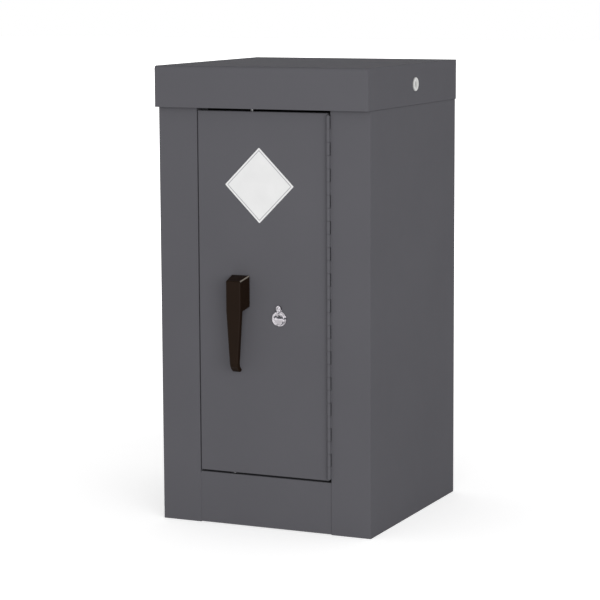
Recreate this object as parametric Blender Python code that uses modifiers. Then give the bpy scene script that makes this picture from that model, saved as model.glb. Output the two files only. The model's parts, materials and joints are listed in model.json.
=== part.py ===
"""Floor-standing steel cupboard for hazardous substances.

One inset door on a continuous hinge, locked by two rods that a lever handle drives
through a cam plate. Metres, +Z up, the front faces -Y, the origin lies on the floor
at the centre of the whole cupboard's outline.
"""
import math

import bmesh
import bpy
from mathutils import Matrix, Vector

MM = 0.001

# Whole cupboard
HEIGHT = 915.0 * MM
BODY_WIDTH = 454.0 * MM
BODY_DEPTH = 454.0 * MM
SHEET = 1.2 * MM
SEAT_GAP = 0.3 * MM
CUT_OVERRUN = 6.0 * MM
ROUND_STEPS = 32
SMALL_STEPS = 16
MERGE_DISTANCE = 0.01 * MM
CORNER_ANGLE = math.radians(40.0)

# Cap
CAP_HEIGHT = 81.5 * MM
CAP_OVERHANG = 14.0 * MM
CAP_BEND_RADIUS = 6.0 * MM
CAP_BEND_STEPS = 4
CAP_RETURN_GAP = 1.5 * MM

# Side panels
STILE_WIDTH = 83.5 * MM
JAMB_DEPTH = 25.0 * MM
STOP_WIDTH = 12.0 * MM
REAR_FLANGE = 22.0 * MM
FOOT_FLANGE = 20.0 * MM

# Rails above and below the door
SILL_HEIGHT = 104.0 * MM
PLINTH_SETBACK = 1.5 * MM
PLINTH_LIFT = 1.0 * MM
RAIL_STOP_GAP = 0.6 * MM
RAIL_FLANGE = 12.0 * MM
HEADER_HEIGHT = 70.0 * MM

# Door
DOOR_DEPTH = 22.0 * MM
DOOR_SHEET = 1.0 * MM
DOOR_LIP = 14.0 * MM
DOOR_EDGE_RADIUS = 1.4 * MM
DOOR_EDGE_STEPS = 2
DOOR_TOP_GAP = 4.9 * MM
DOOR_BOTTOM_GAP = 4.0 * MM
LATCH_GAP = 2.0 * MM
BUFFER_RADIUS = 5.0 * MM
BUFFER_LENGTH = 2.0 * MM
BUFFER_INSET = 90.0 * MM

# Door stiffener, a top-hat section
STIFFENER_DEPTH = 16.0 * MM
STIFFENER_LOCK_GAP = 5.3 * MM
STIFFENER_SHARE = 0.727
STIFFENER_FLANGE_SHARE = 0.1875

# Continuous hinge
LEAF_SHEET = 1.0 * MM
LEAF_DEPTH = 18.0 * MM
LEAF_CLEARANCE = 3.8 * MM
LEAF_NOTCH = 3.5 * MM
KNUCKLES = 28
KNUCKLE_GAP = 0.5 * MM
KNUCKLE_RADIUS = 3.7 * MM
HINGE_PIN_RADIUS = 2.0 * MM
HINGE_PIN_END = 1.5 * MM
HINGE_END_GAP = 4.4 * MM

# Back, sump and shelf
BACK_SHEET = 1.0 * MM
BACK_LIFT = 10.0 * MM
SUMP_FLOOR = 48.0 * MM
SUMP_SHEET = 1.2 * MM
SUMP_FRONT_GAP = 1.0 * MM
SHELF_SHEET = 1.2 * MM
SHELF_LIP = 20.0 * MM
SHELF_FRONT_GAP = 6.0 * MM
SHELF_BACK_GAP = 3.0 * MM
SHELF_SIDE_GAP = 1.0 * MM

# Slotted strips and clips that carry the shelf
STRIP_WIDTH = 24.0 * MM
STRIP_DEPTH = 6.0 * MM
STRIP_SHEET = 1.2 * MM
STRIP_BOTTOM = 130.0 * MM
STRIP_TOP_GAP = 53.5 * MM
STRIP_SLOTS = 13
STRIP_END = 25.0 * MM
STRIP_FROM_FRONT = 62.0 * MM
STRIP_FROM_BACK = 46.0 * MM
SLOT_WIDTH = 12.0 * MM
SLOT_HEIGHT = 5.0 * MM
SLOTS_BELOW_SHELF = 6
CLIP_SHEET = 1.6 * MM
CLIP_LEDGE = 12.0 * MM
CLIP_DROP = 14.0 * MM
CLIP_HOOK = 2.4 * MM
CLIP_REACH = 3.6 * MM

# Round plugs in the cap's sides
PLUG_FLANGE_RADIUS = 14.0 * MM
PLUG_FLANGE = 2.4 * MM
PLUG_DISH_RADIUS = 8.0 * MM
PLUG_SLEEVE_RADIUS = 10.0 * MM
PLUG_SLEEVE_WALL = 1.5 * MM
PLUG_LENGTH = 8.0 * MM
PLUG_WEB = 1.4 * MM
PLUG_DEPTH_SHARE = 0.495
PLUG_HEIGHT_SHARE = 0.503

# Handle
HANDLE_SHARE = 0.4705
HANDLE_HEIGHT = 467.0 * MM
HEAD_WIDTH = 31.0 * MM
HEAD_REAR_WIDTH = 39.5 * MM
HEAD_REACH = 38.0 * MM
HEAD_REAR_TOP = 39.5 * MM
HEAD_FRONT_TOP = 31.0 * MM
HEAD_BOTTOM = 28.5 * MM
HEAD_REAR_BOTTOM = 22.5 * MM
HEAD_DOOR_GAP = 2.2 * MM
LEVER_LENGTH = 151.0 * MM
LEVER_THICKNESS = 10.0 * MM
LEVER_TIP_WIDTH = 15.0 * MM
LEVER_CURL = 14.0 * MM
LEVER_CURL_LENGTH = 18.0 * MM
LEVER_CURL_STEPS = 3
HANDLE_EDGE_RADIUS = 2.0 * MM
HANDLE_EDGE_STEPS = 2
SPINDLE_SQUARE = 7.0 * MM
SPINDLE_IN_HEAD = 16.0 * MM
BUSH_FLANGE_RADIUS = 13.0 * MM
BUSH_FLANGE = 1.5 * MM
BUSH_SLEEVE_RADIUS = 9.0 * MM
BUSH_LENGTH = 7.0 * MM
BUSH_BORE_CLEARANCE = 0.5 * MM
NUT_RADIUS = 14.0 * MM
NUT_HEIGHT = 3.5 * MM
NUT_SIDES = 6

# Cam plate and locking rods
ROD_DEPTH = 10.0 * MM
ROD_RADIUS = 3.5 * MM
ROD_OFFSET = 22.0 * MM
ROD_TIP_GAP = 1.1 * MM
ROD_STEPS = 16
LUG_SHEET = 3.0 * MM
LUG_WALL = 2.2 * MM
LUG_NECK = 8.0 * MM
CAM_SHEET = 3.0 * MM
CAM_RADIUS = 21.0 * MM
CAM_ROD_GAP = 0.8 * MM
CAM_PIN_ORBIT = 16.0 * MM
CAM_PIN_RADIUS = 2.5 * MM
CAM_PIN_ANGLE = math.radians(45.0)
PIN_SIDE_CLEARANCE = 0.4 * MM
PIN_RISE_CLEARANCE = 0.9 * MM
ARM_LOCK_GAP = 12.5 * MM
ARM_WIDTH = 14.0 * MM
ARM_ANGLE = math.radians(-56.0)
ARM_TAB = 6.0 * MM
SCREW_HEAD_RADIUS = 7.0 * MM
SCREW_HEAD = 2.5 * MM
SCREW_RADIUS = 2.0 * MM
SCREW_LENGTH = 8.0 * MM
GUIDE_DISTANCE = 130.0 * MM
GUIDE_SHEET = 2.0 * MM
GUIDE_WIDTH = 22.0 * MM
GUIDE_FOOT = 12.0 * MM
ROD_CLEARANCE = 0.5 * MM
KEEPER_CLEARANCE = 2.5 * MM
ROD_BUSH_WALL = 1.5 * MM
ROD_BUSH_FLANGE = 1.5 * MM
ROD_BUSH_RIM = 1.5 * MM
ROD_BUSH_LENGTH = 6.0 * MM

# Lock
LOCK_FROM_HANDLE = 82.0 * MM
LOCK_DROP = 43.5 * MM
BEZEL_RADIUS = 15.5 * MM
BEZEL_THICKNESS = 2.5 * MM
BEZEL_CHAMFER = 1.0 * MM
EAR_RADIUS = 5.3 * MM
EAR_REACH = 20.7 * MM
LOCK_BODY_RADIUS = 9.5 * MM
LOCK_BODY_LENGTH = 19.5 * MM
LOCK_PLUG_RADIUS = 6.5 * MM
PLUG_TAIL_SQUARE = 5.0 * MM
KEYHOLE_WIDTH = 2.0 * MM
KEYHOLE_HEIGHT = 8.0 * MM
KEYHOLE_DEPTH = 14.0 * MM
TONGUE_LENGTH = 42.0 * MM
TONGUE_WIDTH = 12.0 * MM
TONGUE_SHEET = 2.0 * MM
TONGUE_SCREW_RADIUS = 4.5 * MM
TONGUE_SCREW_HEAD = 2.2 * MM
TONGUE_SCREW_SHANK = 1.2 * MM
TONGUE_SCREW_LENGTH = 5.0 * MM
COVER_RADIUS = 13.6 * MM
COVER_SHEET = 1.2 * MM
COVER_DOME = 1.0 * MM
COVER_DOME_RADIUS = 10.3 * MM
COVER_DOME_STEPS = 4
COVER_GROOVE = 0.5 * MM
COVER_GROOVE_WIDTH = 0.9 * MM
COVER_CHAMFER = 0.6 * MM
COVER_NECK = 7.0 * MM
RIVET_RADIUS = 1.8 * MM
RIVET_HEAD_RADIUS = 3.6 * MM
RIVET_HEAD = 1.6 * MM

# Places that follow from the sizes above
CAP_SKIRT = SHEET + SEAT_GAP
FRONT = (HEAD_REACH - BODY_DEPTH - CAP_SKIRT) / 2
BACK = FRONT + BODY_DEPTH
LEFT = -BODY_WIDTH / 2
RIGHT = BODY_WIDTH / 2
BODY_TOP = HEIGHT - SHEET - SEAT_GAP
CAP_BOTTOM = HEIGHT - CAP_HEIGHT
OPENING_LEFT = LEFT + STILE_WIDTH
OPENING_RIGHT = RIGHT - STILE_WIDTH
RAIL_DEPTH = JAMB_DEPTH - RAIL_STOP_GAP
HEADER_BOTTOM = CAP_BOTTOM - RAIL_STOP_GAP
DOOR_BOTTOM = SILL_HEIGHT + DOOR_BOTTOM_GAP
DOOR_TOP = HEADER_BOTTOM - DOOR_TOP_GAP
HINGE_SPACE = 2 * (SEAT_GAP + LEAF_SHEET) + LEAF_CLEARANCE
HINGE_X = OPENING_RIGHT - HINGE_SPACE / 2
HINGE_Y = FRONT - KNUCKLE_RADIUS - SEAT_GAP
HINGE_BOTTOM = DOOR_BOTTOM + HINGE_END_GAP
HINGE_TOP = DOOR_TOP - HINGE_END_GAP
KNUCKLE_LENGTH = (HINGE_TOP - HINGE_BOTTOM) / KNUCKLES
DOOR_LEFT = OPENING_LEFT + LATCH_GAP
DOOR_RIGHT = OPENING_RIGHT - HINGE_SPACE
DOOR_WIDTH = DOOR_RIGHT - DOOR_LEFT
BACK_PANEL_Y = BACK - SHEET - SEAT_GAP
SUMP_FRONT = FRONT + JAMB_DEPTH + SHEET + SUMP_FRONT_GAP
HANDLE_X = DOOR_LEFT + (DOOR_WIDTH - LOCK_FROM_HANDLE) * HANDLE_SHARE
LOCK_X = HANDLE_X + LOCK_FROM_HANDLE
LOCK_HEIGHT = HANDLE_HEIGHT - LOCK_DROP
BORE_RADIUS = math.hypot(SPINDLE_SQUARE, SPINDLE_SQUARE) / 2 + BUSH_BORE_CLEARANCE
ARM_LENGTH = math.hypot(LOCK_FROM_HANDLE, LOCK_DROP) - LOCK_BODY_RADIUS - ARM_LOCK_GAP
CAM_FRONT = ROD_DEPTH + ROD_RADIUS + CAM_ROD_GAP
CAM_REAR = CAM_FRONT + CAM_SHEET
STRIP_TOP = CAP_BOTTOM - STRIP_TOP_GAP
STRIP_PITCH = (STRIP_TOP - STRIP_BOTTOM - 2 * STRIP_END) / (STRIP_SLOTS - 1)
CLIP_TOP = (STRIP_BOTTOM + STRIP_END + SLOTS_BELOW_SHELF * STRIP_PITCH - SLOT_HEIGHT / 2
            + SEAT_GAP + CLIP_DROP)
SHELF_BASE = CLIP_TOP + SEAT_GAP


def make_collection(name):
    """Add an empty collection to the scene."""
    collection = bpy.data.collections.new(name)
    bpy.context.scene.collection.children.link(collection)
    return collection


def clear_scene():
    """Remove what a new file holds."""
    for item in list(bpy.data.objects):
        bpy.data.objects.remove(item, do_unlink=True)


def make_material(name, color, roughness, metallic=0.0):
    """A Principled material with one colour."""
    material = bpy.data.materials.new(name)
    material.use_nodes = True
    shader = material.node_tree.nodes["Principled BSDF"]
    shader.inputs["Base Color"].default_value = (*color, 1.0)
    shader.inputs["Roughness"].default_value = roughness
    shader.inputs["Metallic"].default_value = metallic
    material.diffuse_color = (*color, 1.0)
    return material


def add_mesh(name, mesh, finish, location=(0, 0, 0), rotation=(0, 0, 0)):
    """Put a bmesh into the cupboard's collection as one named object."""
    data = bpy.data.meshes.new(name)
    mesh.to_mesh(data)
    mesh.free()
    item = bpy.data.objects.new(name, data)
    item.location = location
    item.rotation_euler = rotation
    if finish is None:
        CUTTERS.objects.link(item)
        item.hide_render = True
        item.display_type = "WIRE"
    else:
        data.materials.append(make_material(name, *finish))
        PARTS.objects.link(item)
    return item


def box(low, high):
    """A bmesh box between two corners."""
    mesh = bmesh.new()
    bmesh.ops.create_cube(mesh, size=1)
    low, high = Vector(low), Vector(high)
    size = high - low
    bmesh.ops.scale(mesh, vec=size, verts=mesh.verts)
    bmesh.ops.translate(mesh, vec=(low + high) / 2, verts=mesh.verts)
    return mesh


def cylinder(radius, low, high, steps=ROUND_STEPS, centre=(0, 0), axis="Z", turn=0.0):
    """A bmesh cylinder along an axis, centred on the two other coordinates."""
    mesh = bmesh.new()
    bmesh.ops.create_cone(mesh, cap_ends=True, segments=steps, radius1=radius,
                          radius2=radius, depth=high - low)
    for face in mesh.faces:
        face.smooth = steps > NUT_SIDES and abs(face.normal.z) < math.cos(math.pi / steps)
    bmesh.ops.rotate(mesh, cent=(0, 0, 0), matrix=Matrix.Rotation(turn, 3, "Z"), verts=mesh.verts)
    bmesh.ops.translate(mesh, vec=(0, 0, (low + high) / 2), verts=mesh.verts)
    a, b = centre
    if axis == "X":
        matrix = Matrix.Rotation(math.pi / 2, 4, "Y")
        shift = (0, a, b)
    elif axis == "Y":
        matrix = Matrix.Rotation(-math.pi / 2, 4, "X")
        shift = (a, 0, b)
    else:
        matrix = Matrix.Identity(4)
        shift = (a, b, 0)
    bmesh.ops.transform(mesh, matrix=matrix, verts=mesh.verts)
    bmesh.ops.translate(mesh, vec=shift, verts=mesh.verts)
    return mesh


def plate(outline, low, high, axis):
    """A flat outline extruded along an axis. The outline gives the other two coordinates."""
    mesh = bmesh.new()
    place = {"X": lambda a, b, c: (c, a, b),
             "Y": lambda a, b, c: (a, c, b),
             "Z": lambda a, b, c: (a, b, c)}[axis]
    face = mesh.faces.new([mesh.verts.new(place(a, b, low)) for a, b in outline])
    grown = bmesh.ops.extrude_face_region(mesh, geom=[face])
    moved = [part for part in grown["geom"] if isinstance(part, bmesh.types.BMVert)]
    bmesh.ops.translate(mesh, vec=place(0, 0, high - low), verts=moved)
    bmesh.ops.recalc_face_normals(mesh, faces=mesh.faces)
    return mesh


def solidify(item, thickness, offset):
    """Give an open sheet its thickness on one side."""
    step = item.modifiers.new("Thickness", "SOLIDIFY")
    step.thickness = thickness
    step.offset = offset
    step.use_even_offset = True
    step.use_quality_normals = True


def cut(item, cutter):
    """Take a cutter's shape out of a piece."""
    step = item.modifiers.new("Cut", "BOOLEAN")
    step.operation = "DIFFERENCE"
    step.object = cutter
    step.solver = "EXACT"


def join(item, tool):
    """Unite a piece with a hidden shape."""
    step = item.modifiers.new("Join", "BOOLEAN")
    step.operation = "UNION"
    step.object = tool
    step.solver = "EXACT"


def round_edges(item, width, segments):
    """Round a piece's sharp edges."""
    step = item.modifiers.new("Rounding", "BEVEL")
    step.width = width
    step.segments = segments
    step.limit_method = "ANGLE"


def sheet_strip(name, points, low, high, axis, side, thickness, finish):
    """Sheet metal folded along straight lines.

    The points run along the fold profile, side says on which side of that walk the
    sheet's thickness lies: 1 on the right hand and -1 on the left.
    """
    mesh = bmesh.new()
    place = {"X": lambda a, b, c: (c, a, b), "Z": lambda a, b, c: (a, b, c)}[axis]
    lower = [mesh.verts.new(place(a, b, low)) for a, b in points]
    upper = [mesh.verts.new(place(a, b, high)) for a, b in points]
    for start in range(len(points) - 1):
        mesh.faces.new([lower[start], lower[start + 1], upper[start + 1], upper[start]])
    item = add_mesh(name, mesh, finish)
    solidify(item, thickness, side)
    return item


def open_box(name, low, high, open_axis, open_sign, thickness, finish, lip=0.0):
    """A sheet pan, open on one side, with an optional lip turned in round the mouth."""
    mesh = box(low, high)
    mouth = max(mesh.faces, key=lambda face: face.normal[open_axis] * open_sign)
    if lip:
        bmesh.ops.inset_region(mesh, faces=[mouth], thickness=lip, use_even_offset=True)
    bmesh.ops.delete(mesh, geom=[mouth], context="FACES_ONLY")
    item = add_mesh(name, mesh, finish)
    solidify(item, thickness, -1)
    return item


def turned(name, profile, steps, finish, location=(0, 0, 0), rotation=(0, 0, 0)):
    """A turned piece: a profile of radius and height spun round Z, smooth but for its corners."""
    mesh = bmesh.new()
    verts = [mesh.verts.new((radius, 0, height)) for radius, height in profile]
    closed = profile[0][0] > 0
    for first, second in zip(verts, verts[1:] + verts[:1] if closed else verts[1:]):
        mesh.edges.new((first, second))
    bmesh.ops.spin(mesh, geom=mesh.verts[:] + mesh.edges[:], cent=(0, 0, 0), axis=(0, 0, 1),
                   angle=2 * math.pi, steps=steps)
    bmesh.ops.remove_doubles(mesh, verts=mesh.verts, dist=MERGE_DISTANCE)
    bmesh.ops.recalc_face_normals(mesh, faces=mesh.faces)
    item = add_mesh(name, mesh, finish, location, rotation)
    item.data.shade_smooth()
    item.data.set_sharp_from_angle(angle=CORNER_ANGLE)
    return item


def carry(pivot, items):
    """Parent pieces to the empty on their joint's axis without moving them."""
    for item in items:
        item.parent = pivot
        item.matrix_parent_inverse = pivot_inverse[pivot.name]


def make_pivot(name, position, parent=None):
    """An empty on a joint's axis."""
    pivot = bpy.data.objects.new(name, None)
    pivot.location = position
    PARTS.objects.link(pivot)
    if parent is not None:
        pivot.parent = parent
        pivot.matrix_parent_inverse = pivot_inverse[parent.name]
    pivot_inverse[name] = Matrix.Translation(-Vector(position))
    return pivot


# Finishes: colour, roughness, metallic
GREY_PAINT = ((0.112, 0.110, 0.121), 0.45)
INNER_PAINT = ((0.125, 0.123, 0.134), 0.5)
BLACK_HANDLE = ((0.018, 0.011, 0.008), 0.35)
BLACK_RUBBER = ((0.012, 0.012, 0.012), 0.8)
PALE_PLASTIC = ((0.62, 0.62, 0.60), 0.5)
ZINC = ((0.55, 0.56, 0.57), 0.35, 0.9)
CHROME = ((0.80, 0.80, 0.82), 0.12, 1.0)
BRASS = ((0.62, 0.48, 0.22), 0.3, 1.0)
BLACK_NYLON = ((0.03, 0.03, 0.03), 0.55)


def side_panel(name, side):
    """A side wall with the front stile, jamb, door stop, rear flange and foot flange."""
    wall = side * BODY_WIDTH / 2
    inward = -side

    def across(distance):
        return wall + inward * distance

    stop = FRONT + JAMB_DEPTH
    profile = [(across(STILE_WIDTH + STOP_WIDTH), stop), (across(STILE_WIDTH), stop),
               (across(STILE_WIDTH), FRONT), (wall, FRONT), (wall, BACK),
               (across(REAR_FLANGE), BACK)]
    mesh = bmesh.new()
    lower = [mesh.verts.new((x, y, 0)) for x, y in profile]
    upper = [mesh.verts.new((x, y, BODY_TOP)) for x, y in profile]
    for start in range(len(profile) - 1):
        mesh.faces.new([lower[start], lower[start + 1], upper[start + 1], upper[start]])
    foot_front = mesh.verts.new((across(FOOT_FLANGE), FRONT + FOOT_FLANGE, 0))
    foot_back = mesh.verts.new((across(FOOT_FLANGE), BACK - FOOT_FLANGE, 0))
    mesh.faces.new([lower[4], lower[3], foot_front, foot_back])
    item = add_mesh(name, mesh, GREY_PAINT)
    solidify(item, SHEET, inward)
    cut(item, plug_hole(name, side))
    return item


def plug_place():
    """Where the round plugs sit, as a distance back and a height."""
    return (FRONT + BODY_DEPTH * PLUG_DEPTH_SHARE, CAP_BOTTOM + CAP_HEIGHT * PLUG_HEIGHT_SHARE)


def plug_hole(name, side):
    """The hole that a plug's sleeve fills, through a side of the body and the cap."""
    wall = side * BODY_WIDTH / 2
    hole = cylinder(PLUG_SLEEVE_RADIUS + SEAT_GAP, wall - CUT_OVERRUN, wall + CUT_OVERRUN,
                    centre=plug_place(), axis="X")
    return add_mesh(name + "_hole", hole, None)


def side_plug(name, side):
    """A round dished plug whose sleeve passes through the cap and the side panel."""
    rim = PLUG_FLANGE_RADIUS - PLUG_FLANGE / 2
    bore = PLUG_SLEEVE_RADIUS - PLUG_SLEEVE_WALL
    profile = [(0, PLUG_WEB), (PLUG_DISH_RADIUS, PLUG_WEB), (PLUG_DISH_RADIUS, PLUG_FLANGE),
               (rim, PLUG_FLANGE), (PLUG_FLANGE_RADIUS, PLUG_FLANGE / 2),
               (PLUG_FLANGE_RADIUS, 0), (PLUG_SLEEVE_RADIUS, 0),
               (PLUG_SLEEVE_RADIUS, -PLUG_LENGTH), (bore, -PLUG_LENGTH), (bore, 0), (0, 0)]
    outside = side * (BODY_WIDTH / 2 + CAP_SKIRT + SEAT_GAP)
    back, height = plug_place()
    turn = (0, side * math.pi / 2, 0)
    return turned(name, profile, ROUND_STEPS, PALE_PLASTIC, (outside, back, height), turn)


def top_cap():
    """The hood: a pan turned over, with a front overhang, a round front bend and a return."""
    half = BODY_WIDTH / 2 + CAP_SKIRT
    front = FRONT - CAP_OVERHANG
    mesh = box((-half, front, CAP_BOTTOM), (half, BACK + CAP_SKIRT, HEIGHT))
    mouth = min(mesh.faces, key=lambda face: face.normal.z)
    bmesh.ops.delete(mesh, geom=[mouth], context="FACES_ONLY")
    low_edge = min((edge for edge in mesh.edges if edge.is_boundary),
                   key=lambda edge: sum(vert.co.y for vert in edge.verts))
    depth = CAP_OVERHANG - CAP_RETURN_GAP
    grown = bmesh.ops.extrude_edge_only(mesh, edges=[low_edge])
    for vert in (part for part in grown["geom"] if isinstance(part, bmesh.types.BMVert)):
        vert.co.y += depth
        vert.co.x -= math.copysign(depth, vert.co.x)
    bend = [edge for edge in mesh.edges
            if all(abs(vert.co.z - HEIGHT) < SEAT_GAP and abs(vert.co.y - front) < SEAT_GAP
                   for vert in edge.verts)]
    bmesh.ops.bevel(mesh, geom=bend, offset=CAP_BEND_RADIUS, segments=CAP_BEND_STEPS,
                    affect="EDGES", profile=0.5)
    item = add_mesh("top_cap", mesh, GREY_PAINT)
    solidify(item, SHEET, -1)
    for side in (-1, 1):
        cut(item, plug_hole("top_cap", side))
    return item


def keeper(name, height, x):
    """The cutter for the square slot in a rail that a rod's tip goes into."""
    half = ROD_RADIUS + KEEPER_CLEARANCE
    y = FRONT + ROD_DEPTH
    slot = box((x - half, y - half, height - CUT_OVERRUN), (x + half, y + half, height + CUT_OVERRUN))
    return add_mesh(name, slot, None)


def header_rail():
    """The rail over the door, behind the cap, with the upper keeper slot."""
    deep = FRONT + RAIL_DEPTH
    points = [(FRONT, HEADER_BOTTOM + HEADER_HEIGHT), (FRONT, HEADER_BOTTOM),
              (deep, HEADER_BOTTOM), (deep, HEADER_BOTTOM + RAIL_FLANGE)]
    item = sheet_strip("header_rail", points, OPENING_LEFT + SEAT_GAP,
                       OPENING_RIGHT - SEAT_GAP, "X", -1, SHEET, GREY_PAINT)
    cut(item, keeper("upper_keeper_slot", HEADER_BOTTOM, HANDLE_X + ROD_OFFSET))
    return item


def plinth_panel():
    """The panel under the door; its top return is the sill with the lower keeper slot."""
    face = FRONT + PLINTH_SETBACK
    deep = FRONT + RAIL_DEPTH
    points = [(face, PLINTH_LIFT), (face, SILL_HEIGHT), (deep, SILL_HEIGHT),
              (deep, SILL_HEIGHT - RAIL_FLANGE)]
    item = sheet_strip("plinth_panel", points, OPENING_LEFT + SEAT_GAP,
                       OPENING_RIGHT - SEAT_GAP, "X", 1, SHEET, GREY_PAINT)
    cut(item, keeper("lower_keeper_slot", SILL_HEIGHT, HANDLE_X - ROD_OFFSET))
    return item


def back_panel():
    """The flat back sheet, lapped inside the side panels' rear flanges."""
    inner = BODY_WIDTH / 2 - SHEET - SEAT_GAP
    sheet = box((-inner, BACK_PANEL_Y - BACK_SHEET, BACK_LIFT), (inner, BACK_PANEL_Y, BODY_TOP))
    return add_mesh("back_panel", sheet, GREY_PAINT)


def sump_tray():
    """The leakproof tray that is the cupboard's floor."""
    inner = BODY_WIDTH / 2 - SHEET - SEAT_GAP
    rear = BACK_PANEL_Y - BACK_SHEET - SEAT_GAP
    return open_box("sump_tray", (-inner, SUMP_FRONT, SUMP_FLOOR - SUMP_SHEET),
                    (inner, rear, SILL_HEIGHT), 2, 1, SUMP_SHEET, INNER_PAINT)


def strip_places():
    """Names and places of the four slotted strips: side, and the strip's front edge."""
    front = FRONT + STRIP_FROM_FRONT
    back = BACK - STRIP_FROM_BACK - STRIP_WIDTH
    return [("front_left", -1, front), ("front_right", 1, front),
            ("back_left", -1, back), ("back_right", 1, back)]


def slot_height(index):
    """The middle of a slot, counted from the strip's lowest."""
    return STRIP_BOTTOM + STRIP_END + index * STRIP_PITCH


def shelf_strip(where, side, front):
    """A shallow channel on the side wall with a column of slots for shelf clips."""
    wall = side * (BODY_WIDTH / 2 - SHEET - SEAT_GAP)
    face = wall - side * STRIP_DEPTH
    points = [(wall, front), (face, front), (face, front + STRIP_WIDTH),
              (wall, front + STRIP_WIDTH)]
    item = sheet_strip("shelf_strip_" + where, points, STRIP_BOTTOM, STRIP_TOP, "Z", side,
                       STRIP_SHEET, ZINC)
    middle = front + STRIP_WIDTH / 2
    slots = bmesh.new()
    for index in range(STRIP_SLOTS):
        centre = Vector((face, middle, slot_height(index)))
        grown = bmesh.ops.create_cube(slots, size=1)
        reach = Vector((STRIP_DEPTH, SLOT_WIDTH, SLOT_HEIGHT))
        bmesh.ops.scale(slots, vec=reach, verts=grown["verts"])
        bmesh.ops.translate(slots, vec=centre, verts=grown["verts"])
    cut(item, add_mesh("slots_" + where, slots, None))
    return item


def shelf_clip(where, side, front):
    """A bent clip: a ledge under the shelf, a drop leg and a hook through a slot."""
    face = side * (BODY_WIDTH / 2 - SHEET - SEAT_GAP - STRIP_DEPTH)
    near = face - side * SEAT_GAP
    leg = near - side * CLIP_SHEET
    end = near - side * CLIP_LEDGE
    deep = face + side * CLIP_REACH
    middle = front + STRIP_WIDTH / 2
    half = SLOT_WIDTH / 2 - SEAT_GAP
    low = CLIP_TOP - CLIP_DROP
    outline = [(near, CLIP_TOP), (end, CLIP_TOP), (end, CLIP_TOP - CLIP_SHEET),
               (leg, CLIP_TOP - CLIP_SHEET), (leg, low), (deep, low),
               (deep, low + CLIP_HOOK), (near, low + CLIP_HOOK)]
    return add_mesh("shelf_clip_" + where, plate(outline, middle - half, middle + half, "Y"), ZINC)


def shelf():
    """The shelf: a tray with lips turned up all round, resting on the four clips."""
    half = BODY_WIDTH / 2 - SHEET - SEAT_GAP - STRIP_DEPTH - SHELF_SIDE_GAP
    front = FRONT + JAMB_DEPTH + SHELF_FRONT_GAP
    rear = BACK_PANEL_Y - BACK_SHEET - SHELF_BACK_GAP
    return open_box("shelf", (-half, front, SHELF_BASE),
                    (half, rear, SHELF_BASE + SHELF_LIP), 2, 1, SHELF_SHEET,
                    INNER_PAINT)


def knuckle(side, low, high):
    """A knuckle: three quarters round, and square where its leaf's sheet turns into it."""
    steps = SMALL_STEPS * 3 // 4
    turns = [math.pi / 2 * (1 + 3 * step / steps) for step in range(steps + 1)]
    outline = [(KNUCKLE_RADIUS * math.cos(turn), KNUCKLE_RADIUS * math.sin(turn)) for turn in turns]
    outline.append((KNUCKLE_RADIUS, KNUCKLE_RADIUS))
    mesh = plate([(HINGE_X + side * x, HINGE_Y + y) for x, y in outline], low, high, "Z")
    mesh.normal_update()
    for face in mesh.faces:
        flat = max(abs(value) for value in face.normal) > math.cos(math.pi / (2 * SMALL_STEPS))
        face.smooth = not flat
    return mesh


def hinge_leaf(name, side, first):
    """A hinge leaf: a comb-shaped sheet whose tongues carry every second knuckle.

    side is -1 for the door's leaf and 1 for the frame's, first is its lowest knuckle.
    """
    inner = HINGE_X + side * LEAF_CLEARANCE / 2
    outer = inner + side * LEAF_SHEET
    tongue = HINGE_Y + (HINGE_PIN_RADIUS + SEAT_GAP + KNUCKLE_RADIUS) / 2
    outline = [(FRONT + LEAF_DEPTH, HINGE_BOTTOM)]
    knuckles = bmesh.new()
    for index in range(KNUCKLES):
        low = HINGE_BOTTOM + index * KNUCKLE_LENGTH
        high = low + KNUCKLE_LENGTH
        if index % 2 == first:
            low, high = low + KNUCKLE_GAP / 2, high - KNUCKLE_GAP / 2
            outline += [(tongue, low), (tongue, high)]
            ring = knuckle(side, low, high)
            piece = bpy.data.meshes.new("knuckle")
            ring.to_mesh(piece)
            ring.free()
            knuckles.from_mesh(piece)
            bpy.data.meshes.remove(piece)
        else:
            low, high = low - KNUCKLE_GAP / 2, high + KNUCKLE_GAP / 2
            low = max(low, HINGE_BOTTOM)
            high = min(high, HINGE_TOP)
            outline += [(FRONT + LEAF_NOTCH, low), (FRONT + LEAF_NOTCH, high)]
    outline.append((FRONT + LEAF_DEPTH, HINGE_TOP))
    item = add_mesh(name, plate(outline, min(inner, outer), max(inner, outer), "X"), GREY_PAINT)
    bore = cylinder(HINGE_PIN_RADIUS + SEAT_GAP, HINGE_BOTTOM - CUT_OVERRUN,
                    HINGE_TOP + CUT_OVERRUN, SMALL_STEPS, (HINGE_X, HINGE_Y))
    tools = [add_mesh(name + "_knuckles", knuckles, None), add_mesh(name + "_bore", bore, None)]
    join(item, tools[0])
    cut(item, tools[1])
    return [item] + tools


def hinge_pin():
    """The pin that runs through all the knuckles."""
    pin = cylinder(HINGE_PIN_RADIUS, HINGE_BOTTOM - HINGE_PIN_END, HINGE_TOP + HINGE_PIN_END,
                   SMALL_STEPS, (HINGE_X, HINGE_Y))
    return add_mesh("hinge_pin", pin, GREY_PAINT)


def door_buffer(where, height):
    """A rubber stop on the latch side's door stop."""
    x = OPENING_LEFT + STOP_WIDTH / 2
    back = FRONT + JAMB_DEPTH - SEAT_GAP
    pad = cylinder(BUFFER_RADIUS, back - BUFFER_LENGTH, back, SMALL_STEPS, (x, height), "Y")
    return add_mesh("door_buffer_" + where, pad, BLACK_RUBBER)


def rod_hole_radius():
    """The radius of the holes in the door's edges that the rod bushes fill."""
    return ROD_RADIUS + ROD_CLEARANCE + ROD_BUSH_WALL + SEAT_GAP


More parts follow.
